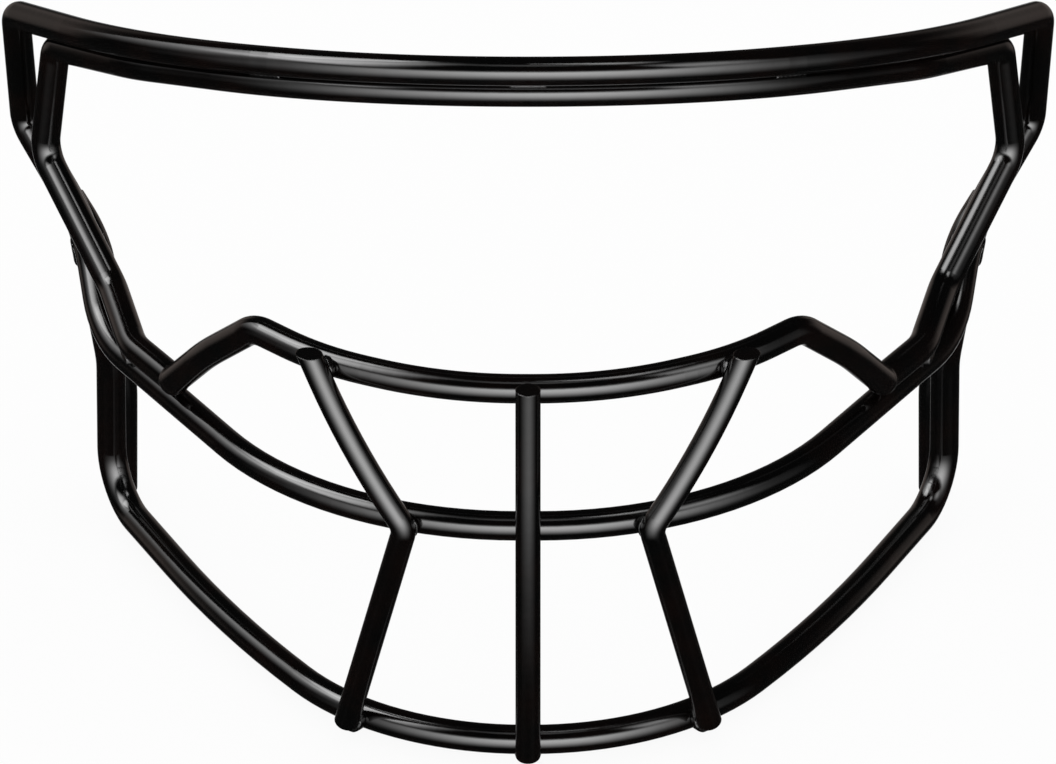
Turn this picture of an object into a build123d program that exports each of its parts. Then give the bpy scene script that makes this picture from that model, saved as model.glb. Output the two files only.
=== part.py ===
# Football helmet facemask: a cage of bent, welded and coated steel wires, in millimetres.
# X is to the right as the wearer's front is seen, Y to the back, Z up.
# The origin is on the axis of the brow bar, in the middle. Everything is alike left and right of X = 0.
from build123d import *
from math import cos, radians, sin, tan
import os

os.makedirs("parts", exist_ok=True)

# Wires, with their coat
wire_diameter = 6.75
upright_diameter = 5.75
weld_gap = 0.15
end_rounding = 0.5
overrun = 6.0

# Main loop: brow bar, outer corners, sides and mouth bar
brow_fall_angle = 22.0
brow_front_half = 31.6
brow_side_half = 88.6
brow_side_back = 35.8
ear_top_half = 117.4
ear_top_back = 85.5
ear_top_down = 33.3
ear_low_half = 115.5
ear_low_back = 92.5
ear_low_down = 65.7
cheek_half = 101.4
cheek_back = 70.2
cheek_down = 80.6
mouth_side_half = 97.2
mouth_side_back = 46.6
mouth_down = 96.4
mouth_front_half = 46.3
mouth_front = 39.0
brow_front_radius = 102.0
brow_side_radius = 134.0
ear_top_radius = 4.2
ear_low_radius = 5.0
cheek_radius = 60.0
mouth_side_radius = 30.0
mouth_front_radius = 77.5

# Doubling loop: its corners lie beside the main loop's, in pitches across, back and up
doubling_centre_shares = (0.0, 0.303, -0.953)
doubling_front_shares = (1.42, 0.303, -0.953)
doubling_side_shares = (0.16, 1.80, -1.62)
doubling_ear_top_shares = (-1.35, -1.67, -0.29)
doubling_ear_low_shares = (-0.65, -1.90, -0.045)
doubling_cheek_shares = (-0.90, -2.77, -0.68)
doubling_mouth_shares = (-1.00, -2.20, 0.965)
doubling_end_shares = (-2.396, -4.468, 0.965)
doubling_front_radius = 98.0
doubling_side_radius = 60.0
doubling_ear_top_radius = 4.2
doubling_ear_low_radius = 7.0
doubling_cheek_radius = 12.0
doubling_mouth_radius = 15.0

# Nose bar: a peak over each cheekbone and a foot on each end of the doubling loop
nose_down = 59.9
nose_front = 40.0
nose_front_half = 18.6
nose_side_half = 47.0
nose_side_front = 27.0
peak_half = 62.1
peak_front = 12.4
foot_bend_shares = (0.585, 0.487, 0.487)
foot_seat_shares = (0.009, -0.328, 0.185)
nose_front_radius = 79.0
nose_side_radius = 64.0
peak_radius = 9.1
foot_radius = 60.0

# Bottom bar, with its risers
chin_down = 158.0
chin_front = 30.0
chin_front_half = 33.35
chin_side_half = 68.7
chin_side_back = 22.1
riser_low_half = 96.0
riser_low_back = 82.3
riser_bend_half = 96.0
riser_bend_back = 74.7
riser_bend_down = 118.3
riser_top_half = 101.2
riser_top_back = 67.8
riser_top_down = 82.0
chin_front_radius = 62.0
chin_side_radius = 350.0
riser_low_radius = 11.7
riser_bend_radius = 42.5

# Side posts, behind the risers
post_inset = 2.35
post_low_back = 89.9
post_low_down = 161.4
post_bend_inset = 2.6
post_bend_back = 84.2
post_bend_down = 131.0
post_top_half = 99.2
post_top_back = 75.8
post_top_down = 86.9
post_tip_half = 105.2
post_tip_back = 83.3
post_tip_down = 80.2
post_bend_radius = 40.0
post_top_radius = 12.0

# Uprights: places measured along each bar from the middle
upright_at_nose = 46.3
upright_at_mouth = 27.3
upright_at_chin = 40.6
upright_top_over = 1.2
upright_end_above = 1.2
centre_end_above = 0.1
upright_bend_lift = 1.6
upright_bow = 1.8
upright_bow_radius = 300.0
upright_bend_radius = 7.5
centre_bow = 1.2
centre_bow_radius = 340.0
centre_mouth_radius = 300.0

# Welds
weld_radius = 3.0
weld_depth = 1.95
collar_growth = 0.6
collar_depth = 3.2
seam_width = 3.8
seam_depth = 1.2
seam_length = 14.0
short_seam_length = 9.0
brow_weld_spacing = 62.0
cheek_seam_at_share = 0.70
lap_seam_at_share = 0.90
post_seam_at_share = 0.35
tip_seam_at_share = 0.93

pitch = wire_diameter + weld_gap
run_use_share = 0.99


def limited_radii(points, radii):
    """Each arc keeps its radius, unless the arcs at both ends of a run would meet."""
    corners = [Vector(*p) for p in points]
    half_turns = []
    for before, corner, after in zip(corners, corners[1:], corners[2:]):
        half_turns.append((corner - before).get_angle(after - corner) / 2)
    tangents = [r * tan(radians(a)) for r, a in zip(radii, half_turns)]
    shrink = [1.0] * len(radii)
    padded = [0.0] + tangents + [0.0]
    for run in range(len(corners) - 1):
        length = (corners[run + 1] - corners[run]).length * run_use_share
        used = padded[run] + padded[run + 1]
        if used > length:
            for corner in (run - 1, run):
                if 0 <= corner < len(radii):
                    shrink[corner] = min(shrink[corner], length / used)
    return [r * s for r, s in zip(radii, shrink)]


def route(points, radii):
    return FilletPolyline(*points, radius=limited_radii(points, radii))


def bent_wire(path, diameter):
    section = Plane(origin=path @ 0, z_dir=path % 0) * Circle(diameter / 2)
    wire = sweep(section, path=path)
    ideal = path.length * section.area
    print("  run", round(path.length, 1), "volume share", round(wire.volume / ideal, 4))
    return wire


def both_sides(half):
    """Joins a right half that starts at X = 0 to its left half."""
    return half + mirror(half, about=Plane.YZ)


def beside(corner, shares):
    return tuple(place + share * pitch for place, share in zip(corner, shares))


def largest(shape):
    return max(shape.solids(), key=lambda solid: solid.volume)


def rounded_end(wire, end_point):
    rim = wire.edges().filter_by(GeomType.CIRCLE).sort_by_distance(end_point)[0]
    return fillet(rim, end_rounding)


# Main loop, right half from the brow's middle to the mouth bar's middle
brow_fall = tan(radians(brow_fall_angle))
main_corners = [
    (0, 0, 0),
    (brow_front_half, 0, 0),
    (brow_side_half, brow_side_back, -brow_side_back * brow_fall),
    (ear_top_half, ear_top_back, -ear_top_down),
    (ear_low_half, ear_low_back, -ear_low_down),
    (cheek_half, cheek_back, -cheek_down),
    (mouth_side_half, mouth_side_back, -mouth_down),
    (mouth_front_half, -mouth_front, -mouth_down),
    (0, -mouth_front, -mouth_down),
]
main_radii = [
    brow_front_radius,
    brow_side_radius,
    ear_top_radius,
    ear_low_radius,
    cheek_radius,
    mouth_side_radius,
    mouth_front_radius,
]
main_path = route(main_corners, main_radii)
main_loop = both_sides(bent_wire(main_path, wire_diameter))

# Doubling loop, right half
doubling_shares = [
    doubling_centre_shares,
    doubling_front_shares,
    doubling_side_shares,
    doubling_ear_top_shares,
    doubling_ear_low_shares,
    doubling_cheek_shares,
    doubling_mouth_shares,
    doubling_end_shares,
]
doubling_corners = [beside(c, s) for c, s in zip(main_corners, doubling_shares[:7])]
doubling_corners.append(beside(main_corners[6], doubling_end_shares))
doubling_radii = [
    doubling_front_radius,
    doubling_side_radius,
    doubling_ear_top_radius,
    doubling_ear_low_radius,
    doubling_cheek_radius,
    doubling_mouth_radius,
]
doubling_path = route(doubling_corners, doubling_radii)
doubling_half = rounded_end(bent_wire(doubling_path, wire_diameter), doubling_path @ 1)
doubling_loop = both_sides(doubling_half)

# Nose bar, right half
peak = (peak_half, -peak_front, -nose_down)
foot_end = beside(doubling_corners[-1], foot_seat_shares)
foot_bend = tuple(p + (e - p) * share for p, e, share in zip(peak, foot_end, foot_bend_shares))
nose_corners = [
    (0, -nose_front, -nose_down),
    (nose_front_half, -nose_front, -nose_down),
    (nose_side_half, -nose_side_front, -nose_down),
    peak,
    foot_bend,
    foot_end,
]
nose_radii = [nose_front_radius, nose_side_radius, peak_radius, foot_radius]
nose_path = route(nose_corners, nose_radii)
nose_half = rounded_end(bent_wire(nose_path, wire_diameter), nose_path @ 1)
nose_bar = both_sides(nose_half)

# Bottom bar, right half, with its riser coped to the main loop
chin_corners = [
    (0, -chin_front, -chin_down),
    (chin_front_half, -chin_front, -chin_down),
    (chin_side_half, chin_side_back, -chin_down),
    (riser_low_half, riser_low_back, -chin_down),
    (riser_bend_half, riser_bend_back, -riser_bend_down),
    (riser_top_half, riser_top_back, -riser_top_down),
]
chin_radii = [chin_front_radius, chin_side_radius, riser_low_radius, riser_bend_radius]
chin_path = route(chin_corners, chin_radii)
bottom_bar = both_sides(largest(bent_wire(chin_path, wire_diameter) - main_loop))

# Right side post
post_corners = [
    (riser_low_half - post_inset, post_low_back, -post_low_down),
    (riser_bend_half - post_bend_inset, post_bend_back, -post_bend_down),
    (post_top_half, post_top_back, -post_top_down),
    (post_tip_half, post_tip_back, -post_tip_down),
]
post_path = route(post_corners, [post_bend_radius, post_top_radius])
right_post = bent_wire(post_path, wire_diameter)
right_post = rounded_end(right_post, post_path @ 0)
right_post = rounded_end(right_post, post_path @ 1)

# Uprights stand in front of the bars, one weld gap clear of each
crossing_reach = wire_diameter / 2 + upright_diameter / 2
upright_reach = crossing_reach + weld_gap


def in_front(bar_path, station, direction):
    """The upright's axis point in front of the bar, at a length along the bar from its middle."""
    place = bar_path.position_at(station, position_mode=PositionMode.LENGTH)
    along = bar_path.tangent_at(station, position_mode=PositionMode.LENGTH)
    out = along.cross(direction).normalized()
    if out.Y > 0:
        out = -out
    return place + out * upright_reach


def bar_place(bar_path, station):
    return bar_path.position_at(station, position_mode=PositionMode.LENGTH)


def upright(points, radii, top):
    """A wire through the points, cut level at its top and rounded at its foot."""
    path = route([tuple(p) for p in points], radii)
    body = bent_wire(path, upright_diameter)
    body = rounded_end(body, path @ 1)
    slab = 4 * overrun
    above = Pos((path @ 0).X, (path @ 0).Y, top + slab / 2) * Box(slab, slab, slab)
    return path, largest(body - above)


def arc_corner(middle, before, after, radius):
    """The corner whose arc, of this radius, has its middle at the given place."""
    into = (before - middle).normalized()
    out = (after - middle).normalized()
    half_turn = (-into).get_angle(out) / 2
    inward = (into + out).normalized()
    return middle - inward * radius * (1 / cos(radians(half_turn)) - 1)


nose_top = -nose_down + wire_diameter / 2
mouth_station = main_path.length - upright_at_mouth
nose_place = bar_place(nose_path, upright_at_nose)
mouth_place = bar_place(main_path, mouth_station)
chin_place = bar_place(chin_path, upright_at_chin)
upper_way = (mouth_place - nose_place).normalized()
lower_way = (chin_place - mouth_place).normalized()
at_nose = in_front(nose_path, upright_at_nose, upper_way)
at_mouth = in_front(main_path, mouth_station, upper_way + lower_way) - lower_way * upright_bend_lift
at_chin = in_front(chin_path, upright_at_chin, lower_way)
bow_point = (at_nose + at_mouth) / 2 + Vector(upright_bow, 0, 0)
side_corner = arc_corner(at_mouth, bow_point, at_chin, upright_bend_radius)
side_points = [
    at_nose + (at_nose - bow_point).normalized() * 2 * overrun,
    bow_point,
    side_corner,
    at_chin - (at_chin - side_corner).normalized() * upright_end_above,
]
side_radii = [upright_bow_radius, upright_bend_radius]
side_path, right_upright = upright(side_points, side_radii, nose_top + upright_top_over)

# Centre upright, in three gently turned runs
centre_nose = Vector(0, -nose_front, -nose_down)
centre_mouth = Vector(0, -mouth_front, -mouth_down)
centre_chin = Vector(0, -chin_front, -chin_down)
centre_upper = (centre_mouth - centre_nose).normalized()
centre_lower = (centre_chin - centre_mouth).normalized()
before_nose = in_front(nose_path, 0, centre_upper)
before_mouth = in_front(main_path, main_path.length, centre_upper + centre_lower)
before_chin = in_front(chin_path, 0, centre_lower)
low_point = (before_mouth + before_chin) / 2 - Vector(0, centre_bow, 0)
mouth_corner = arc_corner(before_mouth, before_nose, low_point, centre_mouth_radius)
centre_points = [
    before_nose + (before_nose - mouth_corner).normalized() * 2 * overrun,
    mouth_corner,
    low_point,
    before_chin - (before_chin - low_point).normalized() * centre_end_above,
]
centre_radii = [centre_mouth_radius, centre_bow_radius]
centre_path, centre_upright = upright(centre_points, centre_radii, nose_top)


# Welds
def round_weld(path_a, path_b, reach, wires):
    """A nugget between two wires that cross, cut to both of them. Reach is half of both diameters."""
    distance, on_a, on_b = path_a.distance_to_with_closest_points(path_b)
    height = distance - reach + 2 * weld_depth
    blank = Plane(origin=(on_a + on_b) / 2, z_dir=on_b - on_a) * Cylinder(weld_radius, height)
    for wire in wires:
        blank = blank - wire
    print("  axes", round(distance, 2), "apart at", [round(v, 1) for v in (on_a + on_b) / 2])
    return largest(blank)


def seam_weld(path_a, share, path_b, length, wires):
    """A seam in the groove between two wires that run side by side, cut to both of them."""
    on_a = path_a @ share
    distance, start, on_b = Vertex(on_a).distance_to_with_closest_points(path_b)
    middle = (on_a + on_b) / 2
    height = distance - wire_diameter + 2 * seam_depth
    blank = Plane(origin=middle, x_dir=path_a % share, z_dir=on_b - on_a) * Box(length, seam_width, height)
    for wire in wires:
        blank = blank - wire
    print("  axes", round(distance, 2), "apart at", [round(v, 1) for v in middle])
    return largest(blank)


def end_weld(path_a, path_b, wires):
    """A nugget that fills the corner where two wires end on each other, cut to both of them."""
    blank = Pos(*((path_a @ 1 + path_b @ 1) / 2)) * Sphere(wire_diameter / 2)
    for wire in wires:
        blank = blank - wire
    return largest(blank)


def collar_weld(path, wires):
    """A collar round the coped top of a riser."""
    top = path @ 1
    up = path % 1
    low = top - up * (wire_diameter / 2 + collar_depth)
    radius = wire_diameter / 2 + collar_growth
    height = wire_diameter / 2 + collar_depth
    blank = Plane(origin=low + up * height / 2, z_dir=up) * Cylinder(radius, height)
    for wire in wires:
        blank = blank - wire
    return largest(blank)


def straight_run(start, end):
    """The room that a straight run of an upright takes up between its welds."""
    return Plane(origin=(start + end) / 2, z_dir=end - start) * Cylinder(
        upright_diameter / 2 + 2 * weld_gap, (end - start).length
    )


upper_run = straight_run(bow_point, side_corner + (side_corner - bow_point).normalized() * overrun)
lower_run = straight_run(side_corner + (side_corner - at_chin).normalized() * overrun, at_chin)
welds = {
    "nose_centre": round_weld(centre_path, nose_path, crossing_reach, [centre_upright, nose_bar]),
    "mouth_centre": round_weld(centre_path, main_path, crossing_reach, [centre_upright, main_loop]),
    "chin_centre": round_weld(centre_path, chin_path, crossing_reach, [centre_upright, bottom_bar]),
}
side_welds = {
    "nose": round_weld(side_path, nose_path, crossing_reach, [right_upright, nose_bar]),
    "mouth": round_weld(side_path, main_path, crossing_reach, [upper_run, lower_run, main_loop]),
    "chin": round_weld(side_path, chin_path, crossing_reach, [right_upright, bottom_bar]),
    "foot": end_weld(nose_path, doubling_path, [nose_bar, doubling_loop]),
    "riser": collar_weld(chin_path, [bottom_bar, main_loop, right_post, doubling_loop]),
    "post": seam_weld(post_path, post_seam_at_share, chin_path, seam_length, [right_post, bottom_bar]),
    "post_tip": seam_weld(post_path, tip_seam_at_share, main_path, short_seam_length, [right_post, main_loop]),
    "cheek": seam_weld(
        doubling_path, cheek_seam_at_share, main_path, seam_length, [doubling_loop, main_loop]
    ),
    "lap": seam_weld(doubling_path, lap_seam_at_share, main_path, seam_length, [doubling_loop, main_loop]),
}
brow_share = brow_weld_spacing / doubling_path.length
welds["brow_centre"] = seam_weld(doubling_path, 0, main_path, short_seam_length, [doubling_loop, main_loop])
side_welds["brow"] = seam_weld(
    doubling_path, brow_share, main_path, short_seam_length, [doubling_loop, main_loop]
)

# Every wire and every weld is a node of its own
nodes = {
    "main_loop": main_loop,
    "doubling_loop": doubling_loop,
    "nose_bar": nose_bar,
    "bottom_bar": bottom_bar,
    "right_side_post": right_post,
    "left_side_post": mirror(right_post, about=Plane.YZ),
    "centre_upright": centre_upright,
    "right_upright": right_upright,
    "left_upright": mirror(right_upright, about=Plane.YZ),
}
for place, weld in welds.items():
    nodes["weld_" + place] = weld
for place, weld in side_welds.items():
    nodes["weld_" + place + "_right"] = weld
    nodes["weld_" + place + "_left"] = mirror(weld, about=Plane.YZ)

for name, shape in nodes.items():
    export_step(shape, "parts/" + name + ".step")
    box = shape.bounding_box()
    print(name, "volume", round(shape.volume), "size", [round(v, 1) for v in box.size])
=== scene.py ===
# %% [markdown]
# # A football helmet facemask in glossy black
# The guard is a cage of steel wires that were bent, welded and then coated black.
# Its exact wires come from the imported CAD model, which is loaded as a fixed frame in metres.
# X is to the right as the front is seen, Y to the back and Z up, and the middle of the brow bar
# is at the origin.

import math

import bpy
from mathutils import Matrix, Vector


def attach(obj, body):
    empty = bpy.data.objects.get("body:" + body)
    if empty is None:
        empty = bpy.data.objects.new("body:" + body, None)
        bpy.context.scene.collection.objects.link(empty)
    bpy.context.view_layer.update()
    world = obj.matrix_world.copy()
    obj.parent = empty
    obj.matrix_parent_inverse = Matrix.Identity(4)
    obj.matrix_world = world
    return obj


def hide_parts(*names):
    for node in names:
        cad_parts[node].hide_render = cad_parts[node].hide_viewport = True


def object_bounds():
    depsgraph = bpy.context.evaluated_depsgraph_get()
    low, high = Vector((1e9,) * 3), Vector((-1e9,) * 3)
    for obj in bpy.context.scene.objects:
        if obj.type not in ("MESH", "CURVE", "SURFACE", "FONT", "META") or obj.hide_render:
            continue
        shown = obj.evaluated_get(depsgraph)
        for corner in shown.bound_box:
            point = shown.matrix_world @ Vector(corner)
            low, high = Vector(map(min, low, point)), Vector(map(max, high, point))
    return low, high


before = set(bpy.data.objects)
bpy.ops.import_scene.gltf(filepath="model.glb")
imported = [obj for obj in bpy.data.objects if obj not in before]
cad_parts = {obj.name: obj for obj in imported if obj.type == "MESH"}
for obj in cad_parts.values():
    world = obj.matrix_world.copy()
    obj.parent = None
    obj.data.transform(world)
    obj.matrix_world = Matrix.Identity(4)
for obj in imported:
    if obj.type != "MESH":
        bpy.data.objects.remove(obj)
cad_low, cad_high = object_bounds()
millimetre = 0.001
print("nodes", len(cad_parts), "width", round((cad_high - cad_low).x / millimetre, 1), "mm")

# %% [markdown]
# ## The camera
# The photograph was taken from in front and 30 degrees above, and it shows no perspective.
# An orthographic camera would fit it, but its picture keeps one size from every other side and
# would cut the corners off. So this is a very long lens from far away, which comes within a few
# thousandths of the orthographic picture. The sensor and the lens are in millimetres, as on a
# real camera, and the distances are in metres.

# %% Place the camera
photo_width = 1056
photo_elevation = 29.99
sensor_width = 36
lens_length = 1150
camera_distance = 7.64
view_centre_up = -0.07035
camera_far_clip = 40

camera_tilt = math.radians(photo_elevation)
to_camera = Vector((0, -math.cos(camera_tilt), math.sin(camera_tilt)))
picture_up = Vector((0, math.sin(camera_tilt), math.cos(camera_tilt)))

camera_data = bpy.data.cameras.new("photo_camera")
camera_data.sensor_width = sensor_width
camera_data.lens = lens_length
camera_data.clip_end = camera_far_clip
camera = bpy.data.objects.new("photo_camera", camera_data)
camera.location = picture_up * view_centre_up + to_camera * camera_distance
camera.rotation_mode = "QUATERNION"
camera.rotation_quaternion = (-to_camera).to_track_quat("-Z", "Y")
bpy.context.scene.collection.objects.link(camera)
bpy.context.scene.camera = camera
view_width = camera_distance * sensor_width / lens_length
print("the camera shows", round(view_width / millimetre, 1), "mm across")
print("a millimetre is", round(photo_width * millimetre / view_width, 2), "pixels")

# %% [markdown]
# ## Two helpers
# Colours are written as sRGB hex, as a paint chart gives them, but shader nodes count in linear
# light. The first helper turns one into the other. The second adds a node, sets its sockets and
# links what feeds it.


# %% Make the helpers
def linear(hex_colour):
    """An sRGB hex colour as linear red, green, blue and alpha."""
    channels = [int(hex_colour[i : i + 2], 16) / 255 for i in (1, 3, 5)]
    toe = 0.04045
    return [c / 12.92 if c <= toe else ((c + 0.055) / 1.055) ** 2.4 for c in channels] + [1.0]


def add_node(tree, kind, sockets=None, **settings):
    """Adds a node. A socket's value is a number, a colour or another node's output."""
    node = tree.nodes.new(kind)
    for name, value in settings.items():
        setattr(node, name, value)
    for socket, value in (sockets or {}).items():
        if isinstance(value, bpy.types.NodeSocket):
            tree.links.new(value, node.inputs[socket])
        else:
            node.inputs[socket].default_value = value
    return node


pure_white = linear("#ffffff")
print("white", pure_white, "and mid grey", [round(c, 3) for c in linear("#808080")])

# %% [markdown]
# ## The coat
# The real coat is a thermoplastic powder coat: the hot cage is dipped in powder, and the powder
# melts to a black skin about 0.2 mm thick. A melted skin is glossy and a little wavy, like
# orange peel, and gives sharp but slightly wandering highlights.
# It could be made as a clear layer over a black one, but the skin is one polymer all through,
# so the plain surface of the Principled shader is enough. Its index is near 1.57, so it mirrors
# a twentieth of the light head on, and far more at a grazing angle.
# The waves are about 2 mm long here. The grain of 0.3 mm is too fine to show by itself and only
# varies the gloss. The black is painted a little warm in patches some 15 mm long: a painted
# reflection of a dim warm light. The melt also rounds each cut end's rim to about 0.4 mm, which
# catches light as a fine bright line.

# %% Set the coat's real sizes
coat_index = 1.57
coat_black = "#030303"
# The warm black is a painted reflection of a dim warm light, laid on in random patches.
warm_reflection_black = "#0a0504"
patch_size = 15 * millimetre
patch_noise = {"Scale": 1 / patch_size, "Detail": 3, "Roughness": 0.55}
patch_edges = {"From Min": 0.42, "From Max": 0.72}
grain_size = 0.3 * millimetre
grain_noise = {"Scale": 1 / grain_size, "Detail": 2, "Roughness": 0.6}
grain_edges = {"From Min": 0.3, "From Max": 0.7}
orange_peel_size = 2.0 * millimetre
orange_peel_noise = {"Scale": 1 / orange_peel_size, "Detail": 1, "Roughness": 0.4}
orange_peel_depth = 0.010 * millimetre
rim_rounding = 0.4 * millimetre
rim_samples = 4
head_on_share = ((coat_index - 1) / (coat_index + 1)) ** 2
print("the coat mirrors", round(head_on_share, 3), "of the light head on")


# %% Make the coat
def powder_coat(name, glossiest, dullest):
    """A melted black skin. Its patterns lie in the part's own space, so they stay with it."""
    material = bpy.data.materials.new(name)
    material.use_nodes = True
    tree = material.node_tree
    shader = tree.nodes["Principled BSDF"]
    place = add_node(tree, "ShaderNodeTexCoord").outputs["Object"]
    # The patches set where the painted reflection, a warm tint, lies on the black.
    patches = add_node(tree, "ShaderNodeTexNoise", {"Vector": place, **patch_noise})
    warm_reflection_share = add_node(tree, "ShaderNodeMapRange", {"Value": patches.outputs["Fac"], **patch_edges})
    blacks = {"A": linear(coat_black), "B": linear(warm_reflection_black)}
    colour = add_node(
        tree, "ShaderNodeMix", {"Factor": warm_reflection_share.outputs["Result"], **blacks}, data_type="RGBA"
    )
    grain = add_node(tree, "ShaderNodeTexNoise", {"Vector": place, **grain_noise})
    gloss_range = {**grain_edges, "To Min": glossiest, "To Max": dullest}
    gloss = add_node(tree, "ShaderNodeMapRange", {"Value": grain.outputs["Fac"], **gloss_range})
    peel = add_node(tree, "ShaderNodeTexNoise", {"Vector": place, **orange_peel_noise})
    rounded = add_node(tree, "ShaderNodeBevel", {"Radius": rim_rounding}, samples=rim_samples)
    waves = add_node(
        tree,
        "ShaderNodeBump",
        {
            "Height": peel.outputs["Fac"],
            "Distance": orange_peel_depth,
            "Normal": rounded.outputs["Normal"],
        },
    )
    tree.links.new(colour.outputs["Result"], shader.inputs["Base Color"])
    tree.links.new(gloss.outputs["Result"], shader.inputs["Roughness"])
    tree.links.new(waves.outputs["Normal"], shader.inputs["Normal"])
    shader.inputs["IOR"].default_value = coat_index
    return material


wire_coat = powder_coat("melted_powder_coat_on_wire", glossiest=0.06, dullest=0.12)
weld_coat = powder_coat("melted_powder_coat_on_weld", glossiest=0.10, dullest=0.18)
print("materials", wire_coat.name, weld_coat.name)

# %% [markdown]
# ## The wires
# Each wire is round steel bar, cut off and bent. It could be rebuilt as a curve with a round
# bevel, but the wires are right as they come from CAD, down to their bends and cut ends.
# So they keep their shape, and each one only takes the coat into its material slot.

# %% Coat the wires
wires = [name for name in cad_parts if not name.startswith("weld_")]
for name in wires:
    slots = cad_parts[name].data.materials
    slots.clear()
    slots.append(wire_coat)
print("coated", len(wires), "wires")

# %% [markdown]
# ## The welds
# A weld bead is metal that ran and froze: it has no edges, it flows out onto both wires, and it
# has small ripples. CAD has each bead as a cut block. It could be rounded by hand, but a voxel
# remesh rebuilds the block as an even skin, and smoothing that skin draws it in to a lump.
# A fine displacement then gives the ripples, about 1 mm apart.
# The seams along the brow and the welds of the uprights were dressed flush before the coat, so
# they are smoothed for more rounds, which draws them in. The bead at each foot of the nose bar
# is let out to fill its corner, those at the side posts are drawn in, and the rest hardly move.

# %% Set the sizes of the beads
voxel_size = 0.28 * millimetre
smoothing_share = 0.5
usual_rounds = 5
rounds_by_kind = {"brow": 28, "nose": 22, "mouth": 22, "chin": 12}
usual_swell = 0.10 * millimetre
swell_by_kind = {
    "brow": -0.10 * millimetre,
    "nose": -0.10 * millimetre,
    "mouth": -0.10 * millimetre,
    "riser": 0,
    "post": -0.20 * millimetre,
    "foot": 0.25 * millimetre,
}
ripple_size = 1.1 * millimetre
ripple_depth = 0.08 * millimetre

ripples = bpy.data.textures.new("weld_ripples", "CLOUDS")
ripples.noise_scale = ripple_size
print("ripples", round(ripple_size / millimetre, 2), "mm apart")


# %% Round the welds into beads
def bead_from(node_name):
    """A rounded bead in the place of a CAD weld, made from a copy of its mesh."""
    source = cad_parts[node_name]
    kind = node_name.split("_")[1]
    bead = bpy.data.objects.new("bead" + node_name.removeprefix("weld"), source.data.copy())
    bpy.context.scene.collection.objects.link(bead)
    remesh = bead.modifiers.new("even_skin", "REMESH")
    remesh.mode = "VOXEL"
    remesh.voxel_size = voxel_size
    remesh.use_smooth_shade = True
    soften = bead.modifiers.new("draw_in", "SMOOTH")
    soften.factor = smoothing_share
    soften.iterations = rounds_by_kind.get(kind, usual_rounds)
    grow = bead.modifiers.new("flow_out", "DISPLACE")
    grow.strength = swell_by_kind.get(kind, usual_swell)
    grow.mid_level = 0
    wave = bead.modifiers.new("ripple", "DISPLACE")
    wave.texture = ripples
    wave.strength = ripple_depth
    wave.texture_coords = "GLOBAL"
    bead.data.materials.clear()
    bead.data.materials.append(weld_coat)
    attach(bead, "root")
    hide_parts(node_name)
    return bead


beads = [bead_from(name) for name in sorted(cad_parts) if name.startswith("weld_")]
print("beads", len(beads))

# %% [markdown]
# ## The floor
# The studio floor is plain and pale. A strength of 1 is white, and the camera sees nearly all of
# the floor at that level, with a small share of matt paint that keeps a faint shadow of the cage.
# Gloss would mirror it as one even sheet, but the cage in the photograph mirrors soft boxes and a
# dark room. So mirrored rays pass through the floor and meet the soft boxes of the world, and
# the floor shades nothing itself.

# %% Lay the floor
floor_size = 12
floor_gap = 0.2 * millimetre
half_floor = floor_size / 2
floor_level = cad_low.z - floor_gap
floor_corners = [
    (x * half_floor, y * half_floor, floor_level) for x, y in ((-1, -1), (1, -1), (1, 1), (-1, 1))
]
floor_mesh = bpy.data.meshes.new("studio_floor")
floor_mesh.from_pydata(floor_corners, [], [(0, 1, 2, 3)])
floor = bpy.data.objects.new("studio_floor", floor_mesh)
bpy.context.scene.collection.objects.link(floor)
floor.visible_glossy = False
floor.visible_shadow = False
print("floor at", round(floor_level / millimetre, 1), "mm")

# %% Paint the floor
background_level = 1.0
white_share = 0.93
pale_paint = "#f4f4f4"

floor_paint = bpy.data.materials.new("pale_floor_paint")
floor_paint.use_nodes = True
paint_tree = floor_paint.node_tree
paint_tree.nodes.clear()
matt = add_node(paint_tree, "ShaderNodeBsdfDiffuse", {"Color": linear(pale_paint)})
glowing = add_node(
    paint_tree, "ShaderNodeEmission", {"Color": pure_white, "Strength": background_level}
)
seen = add_node(paint_tree, "ShaderNodeLightPath").outputs["Is Camera Ray"]
white_part = add_node(
    paint_tree, "ShaderNodeMath", {0: seen, 1: white_share}, operation="MULTIPLY"
)
floor_mix = add_node(
    paint_tree,
    "ShaderNodeMixShader",
    {0: white_part.outputs[0], 1: matt.outputs["BSDF"], 2: glowing.outputs["Emission"]},
)
add_node(paint_tree, "ShaderNodeOutputMaterial", {"Surface": floor_mix.outputs[0]})
floor_mesh.materials.append(floor_paint)
print("paint", floor_paint.name)

# %% [markdown]
# ## The light
# A black gloss shows its lights and little else, so the highlights in the photograph tell where
# the lights were. Following each bright pixel off the round wire it lies on gives the direction
# that it mirrors. Lamps could stand in those places, but a world shader holds such a studio by
# direction alone, and it can show each kind of ray its own light.
# A direction is told by two angles here: its azimuth, which is 0 in front and grows to the right,
# and its elevation above the horizon.

# %% Find the direction of a ray as two angles
world = bpy.data.worlds.new("white_studio")
bpy.context.scene.world = world
world.use_nodes = True
sky = world.node_tree
sky.nodes.clear()

direction = add_node(sky, "ShaderNodeTexCoord").outputs["Generated"]
parts = add_node(sky, "ShaderNodeSeparateXYZ", {0: direction}).outputs
to_front = add_node(sky, "ShaderNodeMath", {0: parts["Y"], 1: -1}, operation="MULTIPLY").outputs[0]
azimuth = add_node(
    sky, "ShaderNodeMath", {0: parts["X"], 1: to_front}, operation="ARCTAN2"
).outputs[0]
elevation = add_node(sky, "ShaderNodeMath", {0: parts["Z"]}, operation="ARCSINE").outputs[0]
print("world", world.name)

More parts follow.
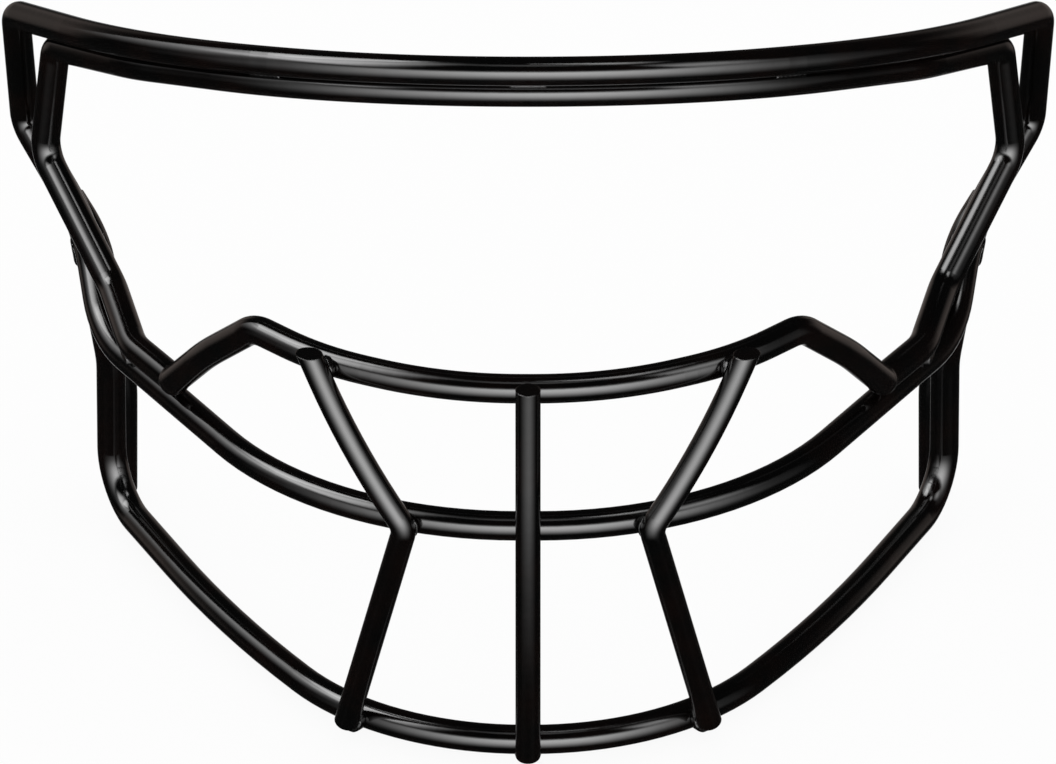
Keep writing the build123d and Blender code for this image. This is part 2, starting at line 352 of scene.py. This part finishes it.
# %% [markdown]
# ## Soft boxes
# A soft box has a fabric face that is brightest in its middle and fades to its edges, some edges
# faster than others. It could be a lamp with a shape, but four smooth steps make one in the world:
# one for each side, each with its own width of fade. Each step dims the light that comes to it.
# The highlights call for a broad box in front with a dim cloth around it, three strong ones on
# the left at different heights, a smaller one high on the right, and a strip and a small lamp
# overhead. The rest of the room is dark.


# %% Make the soft boxes
def within_edges(level, edges):
    """A level of light dimmed at soft edges. Each is an angle with (dark, bright) in degrees."""
    light = level
    for angle, (dark, bright) in edges:
        step = {"Value": angle, "From Min": math.radians(dark), "From Max": math.radians(bright)}
        fade = add_node(
            sky, "ShaderNodeMapRange", {**step, "To Max": light}, interpolation_type="SMOOTHSTEP"
        )
        light = fade.outputs["Result"]
    return light


# For each box: its level, then its left, right, low and high edge.
soft_boxes = {
    "broad in front": (9.4, (-82, 31), (82, -11), (-52, 15), (29, 14)),
    "dim cloth around it": (0.2, (-101, -66), (98, 79), (-24, -5), (33, 31)),
    "high left": (7.0, (-126, -78), (-35, -72), (26, 40), (82, 49)),
    "high right": (3.8, (41, 51), (85, 60), (15, 47), (63, 37)),
    "strip overhead": (1.0, (-84, 22), (76, -6), (68, 69), (81, 78)),
    "left": (16.5, (-129, -126), (-52, -104), (2, 125), (52, 28)),
    "high behind left": (6.0, (-132, -122), (-88, -100), (40, 47), (75, 67)),
    "small overhead": (4.5, (45, 68), (112, 88), (64, 76), (95, 94)),
}
dark_room = 0.012
studio = dark_room
for level, left, right, low, high in soft_boxes.values():
    edges = [(azimuth, left), (azimuth, right), (elevation, low), (elevation, high)]
    box = within_edges(level, edges)
    studio = add_node(sky, "ShaderNodeMath", {0: box, 1: studio}, operation="ADD").outputs[0]
print("soft boxes:", ", ".join(soft_boxes))

# %% [markdown]
# ## The white background and the walls
# The gloss sees the white background too, at a part of its level and only where it stands: behind
# and below the cage, in the middle of the camera's view. From in front it shows as the finest
# pale rim on the wires, and from behind it gives them their shape.
# Two dim, slightly warm walls stand back to the left and right, around the level of the horizon,
# and light the edges of the wires that fall away to the sides.

# %% Set the background and the walls
mirrored_share = 0.4
background_edge = (26, 12)
wall_level = 0.3
wall_colour = "#ffece2"
wall_front = (106, 126)
wall_back = (178, 158)
wall_foot = (-28, -12)
wall_top = (26, 2)

along_view = add_node(
    sky, "ShaderNodeVectorMath", {0: direction, 1: tuple(-to_camera)}, operation="DOT_PRODUCT"
).outputs["Value"]
off_axis = add_node(sky, "ShaderNodeMath", {0: along_view}, operation="ARCCOSINE").outputs[0]
behind = within_edges(background_level * mirrored_share, [(off_axis, background_edge)])
to_side = add_node(sky, "ShaderNodeMath", {0: azimuth}, operation="ABSOLUTE").outputs[0]
wall_edges = [(to_side, wall_front), (to_side, wall_back)]
wall_edges += [(elevation, wall_foot), (elevation, wall_top)]
walls = within_edges(wall_level, wall_edges)
print("walls from", wall_foot[0], "to", wall_top[0], "degrees of elevation")

# %% [markdown]
# ## Each ray its own light
# A Light Path node tells which kind of ray is asking. Mirrored rays get the soft boxes, the
# background behind the cage and the walls. The camera and anything clear see plain white.
# Matt surfaces get an even, plain level, at which a colour renders about as it is written.

# %% Light the world
plain_level = 0.9

lamps = add_node(sky, "ShaderNodeMath", {0: studio, 1: behind}, operation="ADD").outputs[0]
colours_and_levels = {
    "lamps": (pure_white, lamps),
    "walls": (linear(wall_colour), walls),
    "plain": (pure_white, plain_level),
    "background": (pure_white, background_level),
}
lights = {
    name: add_node(sky, "ShaderNodeBackground", {"Color": colour, "Strength": level}).outputs[0]
    for name, (colour, level) in colours_and_levels.items()
}
mirrored = add_node(sky, "ShaderNodeAddShader", {0: lights["lamps"], 1: lights["walls"]}).outputs[0]
rays = add_node(sky, "ShaderNodeLightPath").outputs
bounced = add_node(
    sky, "ShaderNodeMixShader", {0: rays["Is Glossy Ray"], 1: lights["plain"], 2: mirrored}
).outputs[0]
seen_or_through = add_node(
    sky,
    "ShaderNodeMath",
    {0: rays["Is Camera Ray"], 1: rays["Is Transmission Ray"]},
    operation="MAXIMUM",
).outputs[0]
all_rays = add_node(
    sky, "ShaderNodeMixShader", {0: seen_or_through, 1: bounced, 2: lights["background"]}
).outputs[0]
add_node(sky, "ShaderNodeOutputWorld", {"Surface": all_rays})
bpy.context.scene.view_settings.view_transform = "Standard"
print("lights:", ", ".join(lights))
